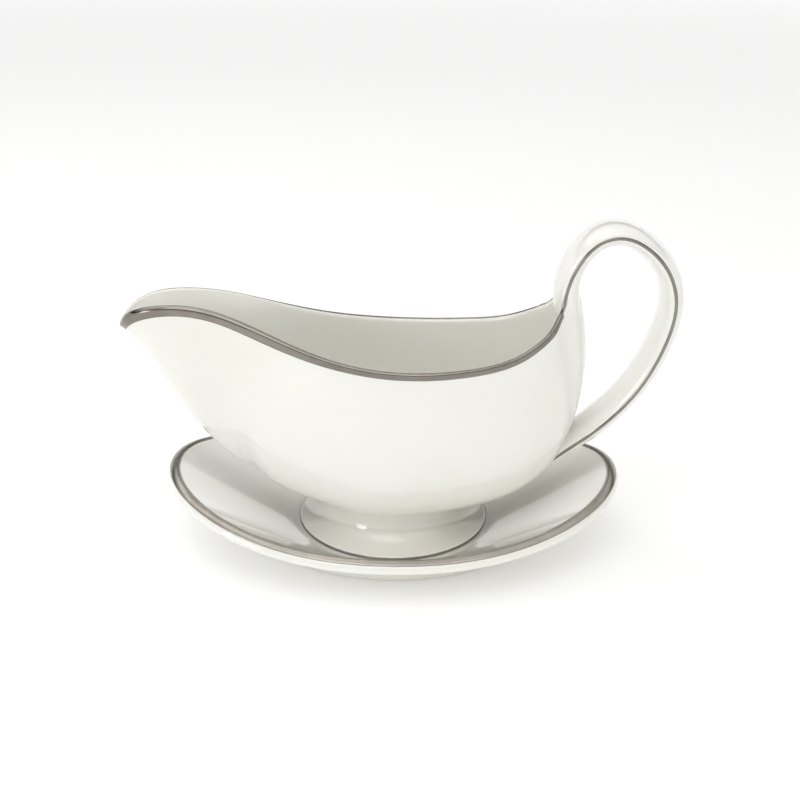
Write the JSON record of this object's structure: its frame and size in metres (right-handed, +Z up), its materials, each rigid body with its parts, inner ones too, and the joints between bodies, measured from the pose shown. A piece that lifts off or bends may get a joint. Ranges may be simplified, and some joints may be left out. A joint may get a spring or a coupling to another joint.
{
  "type": "gravy boat",
  "caption": "White china gravy boat with a long pouring spout and a high strap handle, standing loose on its own oval stand.",
  "frame": {"origin": "on the table, under the middle of the stand", "axes": "+Z up, -X towards the pouring spout, +X towards the handle; -Y is the side that has the spout on the left"},
  "size_m": [0.2238, 0.124, 0.1348],
  "materials": {
    "china": "high gloss glaze over bone china",
    "platinum": "fired-on platinum lustre, polished"
  },
  "bodies": {
    "stand": {"stand_plate": "china", "stand_foot_ring": "china", "stand_rim_band": "platinum"},
    "boat": {"boat_body": "china", "boat_foot": "china", "boat_handle": "china", "boat_rim_band": "platinum", "boat_foot_band": "platinum", "handle_line_left": "platinum", "handle_line_right": "platinum"}
  },
  "joints": [
    {"name": "boat_lift", "type": "slide", "parent": "stand", "child": "boat", "axis": [0, 0, 1], "range_m": [0, 0.06]}
  ]
}
